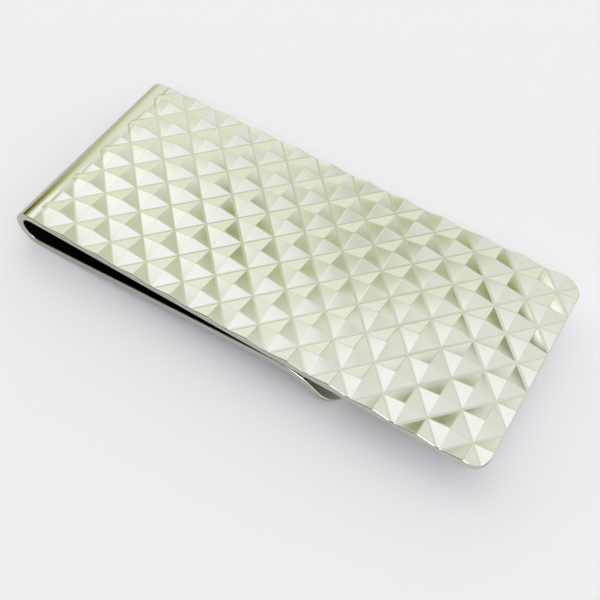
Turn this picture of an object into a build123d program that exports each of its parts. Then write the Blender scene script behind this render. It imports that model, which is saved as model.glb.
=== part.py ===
"""Money clip: one polished spring strip folded over, its front plate pressed with square pyramids.

The frame's origin is the middle of the clip's footprint.
+X runs from the fold towards the free end of the plate, +Y across the clip and +Z up.
The fold and the tip of the lip stand on the plane z = 0.
All sizes are in millimetres.
"""

import math
import os

from build123d import *

# Strip
CLIP_LENGTH = 57.0          # outside of the fold to the free end of the plate
CLIP_WIDTH = 24.5           # across the strip
STRIP_THICKNESS = 0.9       # sheet the clip is bent from
EDGE_ROUNDING = 0.12        # long edges of the strip are rounded off this much

# Fold
FOLD_OUTER_RADIUS = 2.55    # outside skin of the fold
FOLD_PARTING = 1.0          # degrees left open at the middle of the fold, where the spring flexes

# Pressed pattern
PYRAMID_ALONG = 2.38        # half diagonal of one pyramid, measured along the clip
PYRAMID_ACROSS = 2.50       # half diagonal of one pyramid, measured across the clip
PYRAMID_RISE = 0.30         # peaks stand this far above the sheet's face
GROOVE_DEPTH = 0.12         # grooves are pressed this far below the sheet's face
GROOVE_FLOOR = 0.24         # width of the flat floor between two pyramids
PATTERN_START = 0.20        # the last row of pyramid corners lies this far beyond the free end
PLAIN_MARGIN = 0.25         # smooth band left between the fold and the pattern
PATTERN_FADE = 1.2          # length over which the peaks flatten towards the fold
PLATE_CORNER_RADIUS = 2.0   # corners at the free end of the plate

# Spring tongue
GRIP_CLEARANCE = 0.08       # air between the crest and the back of the plate when closed
CREST_RADIUS = 7.0          # middle of the sheet over the crest
CREST_DISTANCE = 32.2       # middle of the fold to the highest point of the crest
LIP_ANGLE = 37.0            # the lip turns down by this many degrees
LIP_CORNER_RADIUS = 2.8     # corners of the lip's tip

# Derived positions
FACE_HEIGHT = 2 * FOLD_OUTER_RADIUS
PEAK_HEIGHT = FACE_HEIGHT + PYRAMID_RISE
GROOVE_HEIGHT = FACE_HEIGHT - GROOVE_DEPTH
BACK_HEIGHT = FACE_HEIGHT - STRIP_THICKNESS
FOLD_INNER_RADIUS = FOLD_OUTER_RADIUS - STRIP_THICKNESS
FOLD_MIDDLE_RADIUS = FOLD_OUTER_RADIUS - STRIP_THICKNESS / 2
FOLD_X = -CLIP_LENGTH / 2 + FOLD_OUTER_RADIUS
FREE_END_X = CLIP_LENGTH / 2


def point_at(centre, radius, degrees):
    """Point on a circle in the side view, as (x, z)."""
    angle = math.radians(degrees)
    return (centre[0] + radius * math.cos(angle), centre[1] + radius * math.sin(angle))


def side_profile(corners):
    """Straight-sided face in the side view from its (x, z) corners."""
    return Plane.XZ * make_face(Polyline(*corners, close=True))


def arc(centre, radius, start, end):
    """Arc in the side view, between two angles about its centre."""
    middle = (start + end) / 2
    return ThreePointArc(
        point_at(centre, radius, start),
        point_at(centre, radius, middle),
        point_at(centre, radius, end),
    )


def bent_profile(centre, middle_radius, start, end):
    """Face of a bent stretch of the sheet, between two angles about the centre of the bend."""
    outer = middle_radius + STRIP_THICKNESS / 2
    inner = middle_radius - STRIP_THICKNESS / 2
    edges = [
        arc(centre, outer, start, end),
        Line(point_at(centre, outer, end), point_at(centre, inner, end)),
        arc(centre, inner, end, start),
        Line(point_at(centre, inner, start), point_at(centre, outer, start)),
    ]
    return Plane.XZ * make_face(edges)


def rounded_stretch(profile):
    """Full-width stretch of the strip from its side view, with its long edges rounded off."""
    stretch = extrude(profile, amount=CLIP_WIDTH / 2, both=True)
    flanks = stretch.faces().group_by(Axis.Y)
    long_edges = []
    for flank in (flanks[0][0], flanks[-1][0]):
        ends = flank.edges().filter_by(lambda edge: abs(edge.length - STRIP_THICKNESS) < 1e-3)
        long_edges += flank.edges() - ends
    return fillet(long_edges, radius=EDGE_ROUNDING)


# The tongue leaves the fold at the slope that brings its crest up to the back of the plate.
crest_top = BACK_HEIGHT - GRIP_CLEARANCE
crest_centre = (FOLD_X + CREST_DISTANCE, crest_top - STRIP_THICKNESS / 2 - CREST_RADIUS)
fold_centre = (FOLD_X, FOLD_OUTER_RADIUS)
centre_distance = math.hypot(crest_centre[0] - fold_centre[0], crest_centre[1] - fold_centre[1])
centre_slope = math.degrees(math.atan2(crest_centre[1] - fold_centre[1], crest_centre[0] - fold_centre[0]))
tongue_slope = centre_slope + math.degrees(math.asin((FOLD_MIDDLE_RADIUS + CREST_RADIUS) / centre_distance))

# The lip runs down until the lower edge of its tip reaches the plane the clip stands on.
lip_drop = math.radians(LIP_ANGLE)
lip_start = point_at(crest_centre, CREST_RADIUS, 90 - LIP_ANGLE)
lip_length = (lip_start[1] - STRIP_THICKNESS / 2 * math.cos(lip_drop)) / math.sin(lip_drop)


# Front plate: flat sheet whose face is pressed into rows of pyramids.
plain_end_x = FOLD_X + PLAIN_MARGIN
pattern_length = FREE_END_X - plain_end_x
blank_height = PEAK_HEIGHT - BACK_HEIGHT
blank_middle = ((FREE_END_X + plain_end_x) / 2, 0, BACK_HEIGHT + blank_height / 2)
blank = Pos(*blank_middle) * Box(pattern_length, CLIP_WIDTH, blank_height)
free_corners = blank.edges().filter_by(Axis.Z).group_by(Axis.X)[-1]
blank = fillet(free_corners, radius=PLATE_CORNER_RADIUS)

# Two crossing sets of wide grooves leave the pyramids standing between them.
side_length = math.hypot(PYRAMID_ALONG, PYRAMID_ACROSS)
half_spacing = PYRAMID_ALONG * PYRAMID_ACROSS / side_length
groove_turn = math.degrees(math.atan2(PYRAMID_ALONG, PYRAMID_ACROSS))
groove_rise = PEAK_HEIGHT - GROOVE_HEIGHT
overcut = 0.2
wall_run = half_spacing - GROOVE_FLOOR / 2
mouth = half_spacing + wall_run * overcut / groove_rise
groove_section = Plane.XZ * make_face(
    Polyline(
        (-GROOVE_FLOOR / 2, 0),
        (GROOVE_FLOOR / 2, 0),
        (mouth, groove_rise + overcut),
        (-mouth, groove_rise + overcut),
        close=True,
    )
)
groove = extrude(groove_section, amount=CLIP_WIDTH, both=True)

# Each groove crosses the clip's middle line at a corner shared by four pyramids.
overhang = math.ceil(CLIP_WIDTH / 2 / PYRAMID_ACROSS / 2) + 1
first_crossing = FREE_END_X + PATTERN_START + (2 * overhang - 1) * PYRAMID_ALONG
groove_count = math.ceil((first_crossing - plain_end_x) / (2 * PYRAMID_ALONG)) + overhang
grooves = []
for number in range(groove_count):
    crossing_x = first_crossing - 2 * number * PYRAMID_ALONG
    for turn in (groove_turn, -groove_turn):
        grooves.append(Pos(crossing_x, 0, GROOVE_HEIGHT) * Rot(0, 0, turn) * groove)
pressed = blank - grooves

# The peaks of the last row are flattened towards the fold.
fade_section = side_profile(
    [
        (plain_end_x - 1, FACE_HEIGHT),
        (plain_end_x, FACE_HEIGHT),
        (plain_end_x + PATTERN_FADE, PEAK_HEIGHT),
        (plain_end_x + PATTERN_FADE, PEAK_HEIGHT + 1),
        (plain_end_x - 1, PEAK_HEIGHT + 1),
    ]
)
pressed = pressed - extrude(fade_section, amount=CLIP_WIDTH, both=True)
margin_middle = ((FOLD_X + plain_end_x) / 2, 0, (BACK_HEIGHT + FACE_HEIGHT) / 2)
margin = Pos(*margin_middle) * Box(PLAIN_MARGIN, CLIP_WIDTH, STRIP_THICKNESS)
front_plate = pressed + margin

# The fold is parted at its outermost point, because its two halves turn against each other.
upper_fold = rounded_stretch(bent_profile(fold_centre, FOLD_MIDDLE_RADIUS, 90, 180 - FOLD_PARTING))
lower_fold = rounded_stretch(bent_profile(fold_centre, FOLD_MIDDLE_RADIUS, 180, 270 + tongue_slope))

# Spring tongue: straight run from the fold up to the crest.
tongue_start_outer = point_at(fold_centre, FOLD_OUTER_RADIUS, 270 + tongue_slope)
tongue_start_inner = point_at(fold_centre, FOLD_INNER_RADIUS, 270 + tongue_slope)
crest_start_lower = point_at(crest_centre, CREST_RADIUS - STRIP_THICKNESS / 2, 90 + tongue_slope)
crest_start_upper = point_at(crest_centre, CREST_RADIUS + STRIP_THICKNESS / 2, 90 + tongue_slope)
tongue_section = side_profile([tongue_start_outer, crest_start_lower, crest_start_upper, tongue_start_inner])
spring_tongue = rounded_stretch(tongue_section)

# Grip crest: gentle bend that presses the notes against the back of the plate.
grip_crest = rounded_stretch(bent_profile(crest_centre, CREST_RADIUS, 90 - LIP_ANGLE, 90 + tongue_slope))

# Lead-in lip: short flare that lets the notes slide in, with its tip's corners rounded off.
lip_blank = Pos(lip_length / 2, 0, 0) * Box(lip_length, CLIP_WIDTH, STRIP_THICKNESS)
tip_corners = lip_blank.edges().filter_by(Axis.Z).group_by(Axis.X)[-1]
lip_blank = fillet(tip_corners, radius=LIP_CORNER_RADIUS)
lip_rims = lip_blank.faces().filter_by(Axis.Z).edges() - lip_blank.faces().sort_by(Axis.X)[0].edges()
lip_blank = fillet(lip_rims, radius=EDGE_ROUNDING)
lead_in_lip = Pos(lip_start[0], 0, lip_start[1]) * Rot(0, LIP_ANGLE, 0) * lip_blank

nodes = {
    "front_plate": front_plate,
    "upper_fold": upper_fold,
    "lower_fold": lower_fold,
    "spring_tongue": spring_tongue,
    "grip_crest": grip_crest,
    "lead_in_lip": lead_in_lip,
}
os.makedirs("parts", exist_ok=True)
for name, shape in nodes.items():
    export_step(shape, f"parts/{name}.step")
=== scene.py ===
"""Looks of a money clip: one polished spring strip, folded over, its front plate pressed with pyramids.

Everything is in metres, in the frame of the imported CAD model. The sections follow the strip from the
free end of the plate, round the fold, to the tip of the lip. The floor, the light and the camera come last.
"""

import math

import bmesh
import bpy
from mathutils import Matrix, Vector


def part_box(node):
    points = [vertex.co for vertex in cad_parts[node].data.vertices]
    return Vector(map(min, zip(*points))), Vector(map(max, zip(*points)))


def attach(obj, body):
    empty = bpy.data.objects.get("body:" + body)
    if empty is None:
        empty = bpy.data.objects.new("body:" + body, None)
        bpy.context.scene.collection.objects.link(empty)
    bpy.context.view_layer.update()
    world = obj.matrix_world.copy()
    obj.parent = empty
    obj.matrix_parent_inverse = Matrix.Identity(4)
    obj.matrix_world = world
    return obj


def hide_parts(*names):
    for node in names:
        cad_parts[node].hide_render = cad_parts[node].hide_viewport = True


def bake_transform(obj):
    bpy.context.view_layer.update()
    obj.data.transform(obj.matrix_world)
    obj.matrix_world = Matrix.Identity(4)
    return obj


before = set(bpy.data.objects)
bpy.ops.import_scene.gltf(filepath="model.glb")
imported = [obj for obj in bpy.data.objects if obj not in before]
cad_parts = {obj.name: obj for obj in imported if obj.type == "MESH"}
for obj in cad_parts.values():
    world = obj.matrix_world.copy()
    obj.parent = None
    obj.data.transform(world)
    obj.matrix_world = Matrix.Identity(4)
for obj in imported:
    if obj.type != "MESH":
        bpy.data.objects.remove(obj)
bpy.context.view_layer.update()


# ---------------------------------------------------------------------------------------------------
# Front plate
# The flat outer leg of the strip. A die presses its face into rows of low pyramids with narrow
# flat-floored grooves between them, and the whole strip is polished and plated after bending.
mm = 0.001
plate_low, plate_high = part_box("front_plate")
half_width = plate_high.y
free_end = plate_high.x
plate_start = plate_low.x
back_height = plate_low.z
peak_height = plate_high.z
face_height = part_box("upper_fold")[1].z

pyramid_along = 2.38 * mm
pyramid_across = 2.50 * mm
groove_floor = 0.24 * mm
groove_height = face_height - 0.12 * mm
pattern_start = 0.20 * mm
plain_end = plate_start + 0.1 * mm
pattern_fade = 1.2 * mm
ridge_softness = 0.06 * mm
foot_softness = 0.035 * mm
edge_rounding = 0.12 * mm
plate_corner = 2.0 * mm


class Wire:
    """A value in a node tree. Arithmetic on it adds the Math nodes that work the result out."""

    def __init__(self, recipe, socket):
        self.recipe = recipe
        self.socket = socket

    def maths(self, operation, *terms):
        """The result of one Math operation on these terms, in their order."""
        return self.recipe.node("ShaderNodeMath", {"operation": operation}, dict(enumerate(terms)))

    def __add__(self, other):
        return self.maths("ADD", self, other)

    def __radd__(self, other):
        return self.maths("ADD", other, self)

    def __sub__(self, other):
        return self.maths("SUBTRACT", self, other)

    def __rsub__(self, other):
        return self.maths("SUBTRACT", other, self)

    def __mul__(self, other):
        return self.maths("MULTIPLY", self, other)

    def __rmul__(self, other):
        return self.maths("MULTIPLY", other, self)

    def __truediv__(self, other):
        return self.maths("DIVIDE", self, other)

    def __rtruediv__(self, other):
        return self.maths("DIVIDE", other, self)

    def __rpow__(self, other):
        return self.maths("POWER", other, self)

    def off_nearest(self):
        """How far the value is from the nearest whole number."""
        return self.maths("ABSOLUTE", self - self.maths("ROUND", self))

    def least(self, other):
        """The smaller of two values."""
        return self.maths("MINIMUM", self, other)

    def ease(self, low, high):
        """0 below low, 1 above high, and a smooth step between them."""
        settings = {"interpolation_type": "SMOOTHSTEP"}
        values = {"Value": self, "From Min": low, "From Max": high}
        return self.recipe.node("ShaderNodeMapRange", settings, values)


class Recipe:
    """A node tree, written down one node at a time."""

    def __init__(self, tree):
        self.tree = tree

    def node(self, kind, settings=None, values=None, output=0):
        """Adds a node: its settings first, then the values or wires of its sockets. Gives one output."""
        added = self.tree.nodes.new(kind)
        for name, value in (settings or {}).items():
            setattr(added, name, value)
        for place, value in (values or {}).items():
            if isinstance(value, Wire):
                self.tree.links.new(value.socket, added.inputs[place])
            else:
                added.inputs[place].default_value = value
        return Wire(self, added.outputs[output])

    def blend(self, share, first, second):
        """Two colours mixed by a share from 0 to 1."""
        return self.node("ShaderNodeMix", {"data_type": "RGBA"}, {0: share, 6: first, 7: second}, output=2)

    def noise(self, place, scale, detail=2.0, roughness=0.5):
        """Cloudy variation from 0 to 1 at a scale in waves per metre."""
        values = {"Vector": place, "Scale": scale, "Detail": detail, "Roughness": roughness}
        return self.node("ShaderNodeTexNoise", None, values)


def polished_metal(name, dark_tint, light_tint, lay_angle, relief=None):
    """Mirror-polished plated metal with faint buffing lines, handling haze and a slight orange peel.

    lay_angle turns the buffing lines about Z. relief gives extra roughness, a share of dull tone and painted
    shade, and extra height in millimetres from the recipe and the place on the piece, for a face that a die
    has pressed.
    """
    dull_and_shade_tint = (0.36, 0.36, 0.32, 1.0)
    grazing_tint = (0.72, 0.69, 0.52, 1.0)
    hairline_turn = 0.35
    metal = bpy.data.materials.new(name)
    metal.use_nodes = True
    recipe = Recipe(metal.node_tree)
    place = recipe.node("ShaderNodeTexCoord", output="Object")
    cloud = recipe.noise(place, 90.0, detail=3.0)
    haze = recipe.noise(place, 320.0, detail=4.0, roughness=0.6).ease(0.45, 0.75)
    buffed = {"Vector": place, "Rotation": (0.0, 0.0, lay_angle), "Scale": (60.0, 9000.0, 9000.0)}
    buffing = recipe.noise(recipe.node("ShaderNodeMapping", None, buffed), 1.0, roughness=0.6)
    crossing = (0.0, 0.0, lay_angle + hairline_turn)
    rubbed = {"Vector": place, "Rotation": crossing, "Scale": (90.0, 3600.0, 3600.0)}
    hairlines = recipe.noise(recipe.node("ShaderNodeMapping", None, rubbed), 1.0, detail=1.0).ease(0.70, 0.76)
    peel = recipe.noise(place, 700.0)
    roll = recipe.noise(place, 130.0, detail=1.0)
    dullness_and_shade = hairlines * 0.06
    roughness = 0.05 + haze * 0.03 + buffing * 0.02 + hairlines * 0.06
    height = roll * 0.010 + peel * 0.0014 + buffing * 0.00012 - hairlines * 0.0002
    if relief is not None:
        extra_roughness, extra_dull_and_shade, extra_height = relief(recipe, place)
        roughness = roughness + extra_roughness
        dullness_and_shade = dullness_and_shade + extra_dull_and_shade
        height = height + extra_height
    colour = recipe.blend(cloud, dark_tint, light_tint)
    # Dull buffing marks, and the painted shade that a pressed face adds in its grooves, pull the colour
    # towards a darker tint.
    colour = recipe.blend(dullness_and_shade, colour, dull_and_shade_tint)
    bump = recipe.node("ShaderNodeBump", None, {"Strength": 1.0, "Distance": mm, "Height": height})
    shader = metal.node_tree.nodes["Principled BSDF"]
    shader.inputs["Metallic"].default_value = 1.0
    shader.inputs["Specular Tint"].default_value = grazing_tint
    for socket, wire in (("Base Color", colour), ("Roughness", roughness), ("Normal", bump)):
        metal.node_tree.links.new(wire.socket, shader.inputs[socket])
    return metal


def pressed_relief(recipe, place):
    """Extra finish of the pressed face: rough die skin and patchy painted shade in grooves, rubbed ridges,
    cutting lines on facets.
    """
    floor_low, floor_high = groove_height + 0.002 * mm, groove_height + 0.02 * mm
    side_low, side_high = groove_height - 0.08 * mm, groove_height - 0.02 * mm
    ridge_inner, ridge_outer = 0.02, 0.08
    axes = [recipe.node("ShaderNodeSeparateXYZ", None, {0: place}, output=axis) for axis in range(3)]
    depth = 1.0 - axes[2].ease(floor_low, floor_high)
    outside = axes[2].ease(side_low, side_high)
    groove = depth * outside
    along = ((free_end + pattern_start - axes[0]) / pyramid_along).off_nearest() * (pyramid_along / mm)
    across = (axes[1] / pyramid_across).off_nearest() * (pyramid_across / mm)
    ridge = (1.0 - along.least(across).ease(ridge_inner, ridge_outer)) * (1.0 - depth) * outside
    grain = recipe.noise(place, 2600.0, detail=3.0, roughness=0.7)
    level = {"Vector": place, "Scale": (700.0, 700.0, 30000.0)}
    lines = recipe.noise(recipe.node("ShaderNodeMapping", None, level), 1.0, roughness=0.7)
    roughness = groove * (0.03 + grain * 0.06) + ridge * 0.02
    # The grooves' colour is darkened by patchy painted shade. The ridges' slight darkening is wear.
    dullness_and_shade = groove * grain * 0.10 + ridge * 0.04
    return roughness, dullness_and_shade, lines * outside * 0.0004


def pyramid_tile(material):
    """One pyramid with its share of the groove floor. Polishing has softened its ridges and foot."""
    tip_share = 0.09
    rim_step = 0.035
    half_spacing = pyramid_along * pyramid_across / math.hypot(pyramid_along, pyramid_across)
    foot = 1.0 - groove_floor / 2 / half_spacing
    softness = foot_softness / half_spacing
    shares = (tip_share, foot - softness, foot + softness, 1.0)
    tile = bmesh.new()
    peak_share = ridge_softness / 2 * (1 / pyramid_along + 1 / pyramid_across)
    rise = peak_height - groove_height
    apex = tile.verts.new((0.0, 0.0, rise * (1.0 - peak_share / foot)))
    quarters = ((1, 0, 0, 1), (0, 1, -1, 0), (-1, 0, 0, -1), (0, -1, 1, 0))
    rings = []
    for share in shares:
        level = rise * max(1.0 - share / foot, 0.0)
        ring = []
        for x, y, next_x, next_y in quarters:
            # The ridge itself, then the two edges of its softened strip and of the next ridge's.
            reach = Vector((x * pyramid_along, y * pyramid_across, 0.0)) * share
            next_reach = Vector((next_x * pyramid_along, next_y * pyramid_across, 0.0)) * share
            ridge_drop = rise * ridge_softness / 2 / (pyramid_across if x else pyramid_along) / foot
            ring.append(tile.verts.new((reach.x, reach.y, max(level - ridge_drop, 0.0))))
            strip = (ridge_softness / next_reach.length, 1.0 - ridge_softness / reach.length)
            for step in (rim_step, 1.0 - rim_step) if share == 1.0 else strip:
                spot = reach.lerp(next_reach, step)
                ring.append(tile.verts.new((spot.x, spot.y, level)))
        rings.append(ring)
    points_round = len(rings[0])
    for number in range(points_round):
        following = (number + 1) % points_round
        tile.faces.new((apex, rings[0][number], rings[0][following]))
        for inner, outer in zip(rings, rings[1:]):
            tile.faces.new((inner[number], outer[number], outer[following], inner[following]))
    mesh = bpy.data.meshes.new("pyramid_tile")
    tile.to_mesh(mesh)
    tile.free()
    mesh.materials.append(material)
    holder = bpy.data.objects.new("pyramid_tile", mesh)
    bpy.context.scene.collection.objects.link(holder)
    return holder


def pyramid_rows_tree():
    """Geometry Nodes that repeat a tile in two interleaved grids and join the tiles into one sheet."""
    tree = bpy.data.node_groups.new("pyramid_rows", "GeometryNodeTree")
    tree.is_modifier = True
    inputs = (
        ("Tile", "NodeSocketGeometry"),
        ("Half diagonal along", "NodeSocketFloat"),
        ("Half diagonal across", "NodeSocketFloat"),
        ("Columns", "NodeSocketInt"),
        ("Rows", "NodeSocketInt"),
        ("Metal", "NodeSocketMaterial"),
        ("Seed", "NodeSocketInt"),
    )
    for name, kind in inputs:
        tree.interface.new_socket(name, in_out="INPUT", socket_type=kind)
    tree.interface.new_socket("Sheet", in_out="OUTPUT", socket_type="NodeSocketGeometry")
    recipe = Recipe(tree)
    asked = tree.nodes.new("NodeGroupInput")
    given = {name: Wire(recipe, asked.outputs[name]) for name, kind in inputs}
    grids = []
    for extra in (0, 1):
        # The second grid has one more column and one less row, so it falls between the first one's points.
        columns = given["Columns"] + extra
        rows = given["Rows"] - extra
        values = {
            "Size X": (columns - 1) * (given["Half diagonal along"] * 2),
            "Size Y": (rows - 1) * (given["Half diagonal across"] * 2),
            "Vertices X": columns,
            "Vertices Y": rows,
        }
        grids.append(recipe.node("GeometryNodeMeshGrid", None, values))
    points = tree.nodes.new("GeometryNodeJoinGeometry")
    for grid in reversed(grids):
        tree.links.new(grid.socket, points.inputs[0])
    # No two pyramids come out of the die quite the same height.
    lowest, highest = (1.0, 1.0, 0.96), (1.0, 1.0, 1.0)
    settings = {"data_type": "FLOAT_VECTOR"}
    height = recipe.node("FunctionNodeRandomValue", settings, {0: lowest, 1: highest, "Seed": given["Seed"]})
    values = {"Points": Wire(recipe, points.outputs[0]), "Instance": given["Tile"], "Scale": height}
    tiles = recipe.node("GeometryNodeInstanceOnPoints", None, values)
    sheet = recipe.node("GeometryNodeRealizeInstances", None, {0: tiles})
    sheet = recipe.node("GeometryNodeSetMaterial", None, {"Geometry": sheet, "Material": given["Metal"]})
    finished = tree.nodes.new("NodeGroupOutput")
    tree.links.new(sheet.socket, finished.inputs[0])
    return tree


def plain_mesh(holder, tree, values):
    """The mesh that a Geometry Nodes tree makes of an object, with values for its inputs by their names.

    Each input is set by its socket's identifier. The object that held the tree is removed.
    """
    modifier = holder.modifiers.new(tree.name, "NODES")
    modifier.node_group = tree
    for item in tree.interface.items_tree:
        if item.in_out == "INPUT" and item.name in values:
            modifier[item.identifier] = values[item.name]
    bpy.context.view_layer.update()
    evaluated = holder.evaluated_get(bpy.context.evaluated_depsgraph_get())
    mesh = bpy.data.meshes.new_from_object(evaluated)
    bpy.data.objects.remove(holder)
    return mesh


def outward(point):
    """The plate's outline direction at a point on its rim, seen from above. The fold's end has none."""
    near = 0.001 * mm
    if point.x < plate_start + near:
        at_side = abs(point.y) > half_width - edge_rounding - near
        return Vector((0.0, math.copysign(1.0, point.y) if at_side else 0.0, 0.0))
    corner = Vector((free_end - plate_corner, half_width - plate_corner, 0.0))
    beyond = Vector((max(point.x - corner.x, 0.0), max(abs(point.y) - corner.y, 0.0), 0.0))
    beyond.y = math.copysign(beyond.y, point.y)
    return beyond.normalized()


plate_metal = polished_metal(
    "pressed_plate_metal", (0.62, 0.625, 0.575, 1.0), (0.68, 0.68, 0.645, 1.0), 0.0, pressed_relief
)
columns, rows = 12, 6
joining_distance = 0.004 * mm
cutting_tolerance = 0.0001 * mm
sheet_mesh = plain_mesh(
    pyramid_tile(plate_metal),
    pyramid_rows_tree(),
    {
        "Half diagonal along": pyramid_along,
        "Half diagonal across": pyramid_across,
        "Columns": columns,
        "Rows": rows,
        "Metal": plate_metal,
        "Seed": 4,
    },
)
plate = bmesh.new()
plate.from_mesh(sheet_mesh)
bpy.data.meshes.remove(sheet_mesh)
bmesh.ops.remove_doubles(plate, verts=plate.verts, dist=joining_distance)
middle_x = free_end + pattern_start - columns * pyramid_along
bmesh.ops.translate(plate, vec=(middle_x, 0.0, groove_height), verts=plate.verts)

# The relief is pressed less and less deep towards the fold.
fade_steps = 6
for step in range(fade_steps + 1):
    cut_x = plain_end + pattern_fade * step / fade_steps
    everything = plate.verts[:] + plate.edges[:] + plate.faces[:]
    bmesh.ops.bisect_plane(
        plate, geom=everything, plane_co=(cut_x, 0, 0), plane_no=(1, 0, 0), dist=cutting_tolerance
    )
for vertex in plate.verts:
    depth = min(max((vertex.co.x - plain_end) / pattern_fade, 0.0), 1.0)
    depth = depth * depth * (3 - 2 * depth)
    vertex.co.z = face_height + (vertex.co.z - face_height) * depth

# The sheet is cut to the plate's outline, less the rounding of its edge.
cuts = [((plate_start, 0, 0), (-1, 0, 0))]
corner_steps = 16
for side in (1, -1):
    for step in range(corner_steps + 1):
        angle = math.radians(90 * step / corner_steps)
        normal = Vector((math.cos(angle), side * math.sin(angle), 0.0))
        centre = Vector((free_end - plate_corner, side * (half_width - plate_corner), 0.0))
        cuts.append((centre + normal * (plate_corner - edge_rounding), normal))
for point, normal in cuts:
    everything = plate.verts[:] + plate.edges[:] + plate.faces[:]
    bmesh.ops.bisect_plane(
        plate, geom=everything, plane_co=point, plane_no=normal, clear_outer=True, dist=cutting_tolerance
    )

# The rim rolls over the edge, drops down the side and turns in to the back.
first_edge = next(edge for edge in plate.edges if edge.is_boundary)
rim = list(first_edge.verts)
for step in range(len(plate.verts)):
    neighbours = [edge.other_vert(rim[-1]) for edge in rim[-1].link_edges if edge.is_boundary]
    following = next(vertex for vertex in neighbours if vertex is not rim[-2])
    if following is rim[0]:
        break
    rim.append(following)
else:
    raise RuntimeError("the plate's rim isn't one closed loop")
rounding_steps = 3
rim_steps = []
for step in range(1, rounding_steps + 1):
    angle = math.radians(90 * step / rounding_steps)
    rim_steps.append((edge_rounding * math.sin(angle), edge_rounding * (1 - math.cos(angle)), None))
for step in range(rounding_steps + 1):
    angle = math.radians(90 * step / rounding_steps)
    height = back_height + edge_rounding * (1 - math.sin(angle))
    rim_steps.append((edge_rounding * math.cos(angle), None, height))
above = rim
for offset, drop, height in rim_steps:
    ring = []
    for vertex in rim:
        place = vertex.co + outward(vertex.co) * offset
        place.z = vertex.co.z - drop if height is None else height
        ring.append(plate.verts.new(place))
    for number in range(len(rim)):
        following = (number + 1) % len(rim)
        plate.faces.new((above[number], above[following], ring[following], ring[number]))
    above = ring
plate.faces.new(above)
bmesh.ops.recalc_face_normals(plate, faces=plate.faces)
plate_mesh = bpy.data.meshes.new("pressed_plate")
plate.to_mesh(plate_mesh)
plate.free()
plate_mesh.materials.append(plate_metal)

# Wide faces keep their own direction up to their edges, so the softened ridges do all the turning.
# Facets are very slightly crowned. A facet leans more than a groove floor and less than a rim face.
crown = 12.0
facet_area = 0.5 * mm**2
steepest_facet, flattest_facet = 0.9, 0.999
facing_tolerance = 1e-4


def at_fold(face):
    """Whether a face is the flat end where the plate meets the fold."""
    return abs(face.normal.x + 1.0) <= facing_tolerance


vertex_normals = [Vector() for vertex in plate_mesh.vertices]
for face in plate_mesh.polygons:
    face.use_smooth = True
    is_facet = face.area > facet_area and steepest_facet < face.normal.z < flattest_facet
    if not at_fold(face):
        for vertex in face.vertices:
            lean = (plate_mesh.vertices[vertex].co - face.center) * crown if is_facet else Vector()
            vertex_normals[vertex] += (face.normal + lean) * face.area**2
corner_normals = []
for face in plate_mesh.polygons:
    for vertex in face.vertices:
        corner_normals.append(face.normal.copy() if at_fold(face) else vertex_normals[vertex].normalized())
plate_mesh.normals_split_custom_set(corner_normals)
pressed_plate = bpy.data.objects.new("pressed_plate", plate_mesh)
bpy.context.scene.collection.objects.link(pressed_plate)
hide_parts("front_plate")
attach(pressed_plate, "plate")


# ---------------------------------------------------------------------------------------------------
# Fold
# The full-width U bend that joins the plate to the tongue. It is the same sheet, bent cold over a
# round former, so its skin is smooth. It is the spring of the clip, and flexes when notes go in.
sheet_thickness = face_height - back_height
fold_radius = face_height / 2
middle_radius = fold_radius - sheet_thickness / 2
grip_clearance = 0.08 * mm
crest_radius = 7.0 * mm
crest_distance = 32.2 * mm
crest_centre = Vector((plate_start + crest_distance, 0.0, back_height - grip_clearance))
crest_centre.z -= sheet_thickness / 2 + crest_radius
fold_centre = Vector((plate_start, 0.0, fold_radius))
between = crest_centre - fold_centre
tongue_slope = math.atan2(between.z, between.x) + math.asin((middle_radius + crest_radius) / between.length)


def around(centre, radius, angle):
    """Point on a circle in the side view."""
    return centre + Vector((math.cos(angle), 0.0, math.sin(angle))) * radius


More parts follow.
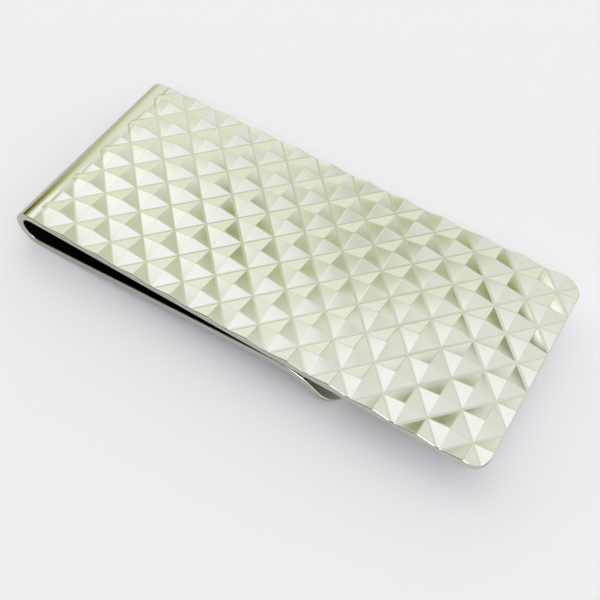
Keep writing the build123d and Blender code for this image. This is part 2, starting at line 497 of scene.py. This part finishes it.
def bent_strip(name, stations, material):
    """Closed strip of sheet metal with rounded long edges, through stations along its middle.

    A station is its middle point, the angle that its outer face looks at in the side view, its half width
    and its half thickness. Normals come from the shape itself, so two strips that meet look like one.
    """
    section = []
    arc_steps = 4
    for corner, (across, up) in enumerate(((1, 1), (-1, 1), (-1, -1), (1, -1))):
        for step in range(arc_steps + 1):
            section.append((across, up, math.radians(90 * corner + 90 * step / arc_steps)))
    rings = []
    for middle, facing, half_across, half_thick in stations:
        up_way = Vector((math.cos(facing), 0.0, math.sin(facing)))
        ring = []
        for across, up, turn in section:
            y = across * (half_across - edge_rounding) + edge_rounding * math.cos(turn)
            rise = up * (half_thick - edge_rounding) + edge_rounding * math.sin(turn)
            ring.append(middle + Vector((0.0, y, 0.0)) + up_way * rise)
        rings.append(ring)
    count = len(section)
    points = [tuple(point) for ring in rings for point in ring]
    faces = []
    for row in range(len(rings) - 1):
        for place in range(count):
            following = (place + 1) % count
            here, ahead = row * count, (row + 1) * count
            faces.append((here + place, ahead + place, ahead + following, here + following))
    faces.append(tuple(range(count)))
    faces.append(tuple((len(rings) - 1) * count + place for place in reversed(range(count))))
    mesh = bpy.data.meshes.new(name)
    mesh.from_pydata(points, [], faces)
    normals = []
    for row, (middle, facing, half_across, half_thick) in enumerate(stations):
        up_way = Vector((math.cos(facing), 0.0, math.sin(facing)))
        before = rings[max(row - 1, 0)]
        after = rings[min(row + 1, len(rings) - 1)]
        for place, (across, up, turn) in enumerate(section):
            radial = Vector((0.0, math.cos(turn), 0.0)) + up_way * math.sin(turn)
            round_way = Vector((0.0, -math.sin(turn), 0.0)) + up_way * math.cos(turn)
            along_way = after[place] - before[place]
            if row in (0, len(rings) - 1):
                along_way = up_way.cross(Vector((0.0, 1.0, 0.0)))
            normal = round_way.cross(along_way).normalized()
            normals.append(normal if normal.dot(radial) > 0 else -normal)
    corner_normals = []
    for face in mesh.polygons:
        face.use_smooth = True
        capping = face.loop_total > 4
        for vertex in face.vertices:
            corner_normals.append(face.normal.copy() if capping else normals[vertex])
    mesh.normals_split_custom_set(corner_normals)
    mesh.materials.append(material)
    strip = bpy.data.objects.new(name, mesh)
    bpy.context.scene.collection.objects.link(strip)
    return strip


strip_metal = polished_metal(
    "polished_strip_metal", (0.61, 0.61, 0.56, 1.0), (0.67, 0.67, 0.63, 1.0), math.pi / 2
)
fold_end = 1.5 * math.pi + tongue_slope
fold_steps = 64
fold_stations = []
for step in range(fold_steps + 1):
    angle = math.pi / 2 + (fold_end - math.pi / 2) * step / fold_steps
    middle = around(fold_centre, middle_radius, angle)
    fold_stations.append((middle, angle, half_width, sheet_thickness / 2))
fold = bent_strip("fold", fold_stations, strip_metal)
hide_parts("upper_fold", "lower_fold")
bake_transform(fold)


# ---------------------------------------------------------------------------------------------------
# Spring tongue, grip crest and lip
# The inner leg of the strip. It runs straight up from the fold until its crest presses on the back
# of the plate, then flares away in a short lip with rounded corners that lets the notes slide in.
lip_angle = math.radians(37.0)
lip_corner = 2.8 * mm
tongue_stations = [
    (around(fold_centre, middle_radius, fold_end), fold_end, half_width, sheet_thickness / 2),
]
crest_steps = 40
for step in range(crest_steps + 1):
    turn = math.pi / 2 + tongue_slope - (tongue_slope + lip_angle) * step / crest_steps
    middle = around(crest_centre, crest_radius, turn)
    tongue_stations.append((middle, turn + math.pi, half_width, sheet_thickness / 2))
lip_start = around(crest_centre, crest_radius, math.pi / 2 - lip_angle)
lip_length = (lip_start.z - sheet_thickness / 2 * math.cos(lip_angle)) / math.sin(lip_angle)
lip_way = Vector((math.cos(lip_angle), 0.0, -math.sin(lip_angle)))
lip_facing = 1.5 * math.pi - lip_angle
lip_corner_steps, lip_edge_steps = 14, 4
corner_turns = [90 * step / lip_corner_steps for step in range(lip_corner_steps + 1)]
edge_turns = [90 * step / lip_edge_steps for step in range(lip_edge_steps + 1)]
from_tip = sorted(
    {round(lip_corner * (1 - math.cos(math.radians(turn))), 9) for turn in corner_turns}
    | {round(edge_rounding * (1 - math.cos(math.radians(turn))), 9) for turn in edge_turns},
    reverse=True,
)
for distance in from_tip:
    narrowing = lip_corner - math.sqrt(max(lip_corner**2 - (lip_corner - distance) ** 2, 0.0))
    inside = max(edge_rounding - distance, 0.0)
    thinning = edge_rounding - math.sqrt(max(edge_rounding**2 - inside**2, 0.0))
    middle = lip_start + lip_way * (lip_length - distance)
    tongue_stations.append((middle, lip_facing, half_width - narrowing, sheet_thickness / 2 - thinning))
tongue = bent_strip("tongue", tongue_stations, strip_metal)
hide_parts("spring_tongue", "grip_crest", "lead_in_lip")
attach(tongue, "tongue")


# ---------------------------------------------------------------------------------------------------
# Table, studio and camera
# A plain pale table under an even, bright tent with soft patches of extra light and shade on it. The first
# fourteen patches are the result of a fitting program that sought the wanted brightness of the facets. They
# stand for no real lamps or cloths, and their names only tell them apart. The last two were given one by one.
table_mesh = bpy.data.meshes.new("table")
reach = 1.5
table_mesh.from_pydata(
    [(-reach, -reach, 0), (reach, -reach, 0), (reach, reach, 0), (-reach, reach, 0)], [], [(0, 1, 2, 3)]
)
table = bpy.data.objects.new("table", table_mesh)
bpy.context.scene.collection.objects.link(table)
table_paint = bpy.data.materials.new("pale_table")
table_paint.use_nodes = True
paint_shader = table_paint.node_tree.nodes["Principled BSDF"]
paint_shader.inputs["Base Color"].default_value = (0.80, 0.785, 0.86, 1.0)
paint_shader.inputs["Roughness"].default_value = 0.45
table_mesh.materials.append(table_paint)

tent = bpy.data.worlds.new("studio_tent")
tent.use_nodes = True
bpy.context.scene.world = tent
tent_recipe = Recipe(tent.node_tree)
tent_way = tent_recipe.node("ShaderNodeTexCoord")
tent_patches = (
    # what it is, azimuth, height, turn about its middle, length and width in degrees, light added
    ("left sheet", 159.0, 37.6, 0.7, 66.2, 9.4, (1.61, 1.75, 2.27)),
    ("left shade", 156.8, 27.5, -0.5, 69.1, 8.7, (-1.42, -1.60, -2.08)),
    ("far shade", 106.2, 47.6, 27.1, 4.7, 32.1, (-1.02, -0.95, -1.41)),
    ("right frame", 70.8, 34.0, -5.7, 2.0, 5.6, (-1.38, -1.38, -1.59)),
    ("far knot", 117.5, 37.1, 33.8, 2.3, 4.9, (-0.74, -0.70, -0.79)),
    ("top seam", 81.0, 73.3, 44.4, 35.6, 2.9, (-0.19, -0.18, -0.25)),
    ("right glint", 74.3, 31.8, 45.0, 4.1, 2.0, (1.10, 1.08, 1.24)),
    ("far seam", 98.8, 41.1, 32.8, 3.0, 2.0, (-0.32, -0.31, -0.32)),
    ("left fill", 161.8, 26.1, 3.2, 23.6, 68.8, (0.12, 0.12, -0.03)),
    ("left glint", 147.7, 46.8, -58.0, 2.0, 13.2, (0.51, 0.52, 0.57)),
    ("low dark", 167.3, -11.6, 13.4, 35.8, 5.0, (-2.36, -2.26, -2.35)),
    ("far sheet", 109.0, 48.5, 114.6, 18.0, 3.9, (0.86, 0.79, 1.16)),
    ("far fill", 110.4, 33.5, 79.4, 68.8, 3.8, (0.06, 0.06, 0.13)),
    ("right bar", 83.9, 39.9, -50.4, 5.3, 2.5, (0.34, 0.33, 0.42)),
    ("dark room", -110.0, 34.0, 90.0, 48.0, 27.0, (-1.90, -1.90, -1.80)),
    ("side light", -62.0, 52.0, 0.0, 13.0, 13.0, (6.80, 6.80, 6.80)),
)
patch_depth = 0.7
darkest = (0.03, 0.03, 0.02)
tent_light = (1.073, 1.091, 1.017)
for patch, azimuth, height, turn, length, width, added in tent_patches:
    aim = (
        Matrix.Rotation(math.radians(azimuth), 3, "Z")
        @ Matrix.Rotation(math.radians(90 - height), 3, "Y")
        @ Matrix.Rotation(math.radians(turn), 3, "Z")
    )
    values = {
        "Vector": tent_way,
        "Location": aim.col[2],
        "Rotation": aim.to_euler(),
        "Scale": (math.radians(length), math.radians(width), patch_depth),
    }
    apart = tent_recipe.node("ShaderNodeMapping", {"vector_type": "TEXTURE"}, values)
    squared = tent_recipe.node(
        "ShaderNodeVectorMath", {"operation": "DOT_PRODUCT"}, {0: apart, 1: apart}, output="Value"
    )
    share = math.e ** (squared * -1.0)
    tent_light = tent_recipe.node(
        "ShaderNodeVectorMath", {"operation": "MULTIPLY_ADD"}, {0: share, 1: added, 2: tent_light}
    )
tent_light = tent_recipe.node(
    "ShaderNodeVectorMath", {"operation": "MAXIMUM"}, {0: tent_light, 1: darkest}
)
backdrop = tent.node_tree.nodes["Background"]
tent.node_tree.links.new(tent_light.socket, backdrop.inputs["Color"])

# The view is from above the near right corner of the clip.
view = bpy.data.cameras.new("view")
view.sensor_width = 36.0
view.lens = 50.84
view.clip_start = 0.005
view.clip_end = 10.0
viewer = bpy.data.objects.new("view", view)
viewer.location = (28.833 * mm, -46.045 * mm, 77.635 * mm)
viewer.rotation_euler = (math.radians(33.157), math.radians(-0.866), math.radians(32.215))
bpy.context.scene.collection.objects.link(viewer)
bpy.context.scene.camera = viewer
bpy.context.scene.view_settings.view_transform = "Standard"
